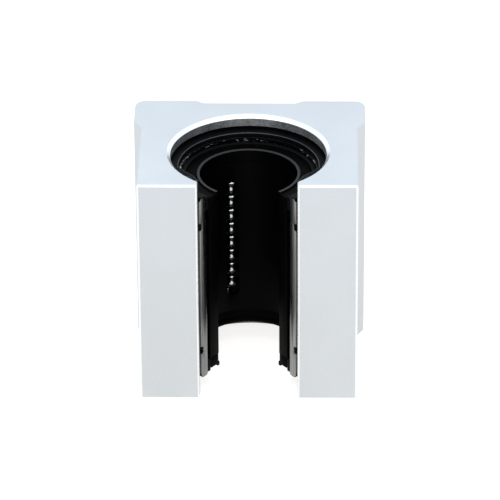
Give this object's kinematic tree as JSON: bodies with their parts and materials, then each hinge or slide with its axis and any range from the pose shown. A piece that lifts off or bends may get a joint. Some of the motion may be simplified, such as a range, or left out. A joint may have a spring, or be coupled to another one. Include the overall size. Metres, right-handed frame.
{
  "type": "linear bearing block",
  "caption": "Open linear bearing block: an aluminium housing with a tapped mounting face holds a slotted ball bearing that slides on a round shaft carried by a rail from below.",
  "frame": {"origin": "on the shaft's axis, half way along the housing", "axes": "+Z along the shaft, +Y out of the tapped mounting face, +X across the block; the slot for the rail opens towards -Y"},
  "size_m": [0.048, 0.038, 0.05],
  "materials": {
    "housing": "pale clear-anodised, fine satin",
    "sleeve": "ground hardened steel",
    "cage": "black moulded resin",
    "balls": "polished bearing steel",
    "seals": "black nitrile rubber",
    "side_rings": "blackened steel",
    "retaining_rings": "phosphated spring steel",
    "screw": "black-oxide steel"
  },
  "bodies": {
    "root": {"housing": "housing", "bearing_sleeve": "sleeve", "ball_cage": "cage", "balls_circuit_1": "balls", "balls_circuit_2": "balls", "balls_circuit_3": "balls", "balls_circuit_4": "balls", "end_seal_upper": "seals", "side_ring_upper": "side_rings", "retaining_ring_upper": "retaining_rings", "end_seal_lower": "seals", "side_ring_lower": "side_rings", "retaining_ring_lower": "retaining_rings", "locking_screw": "screw"}
  },
  "joints": []
}
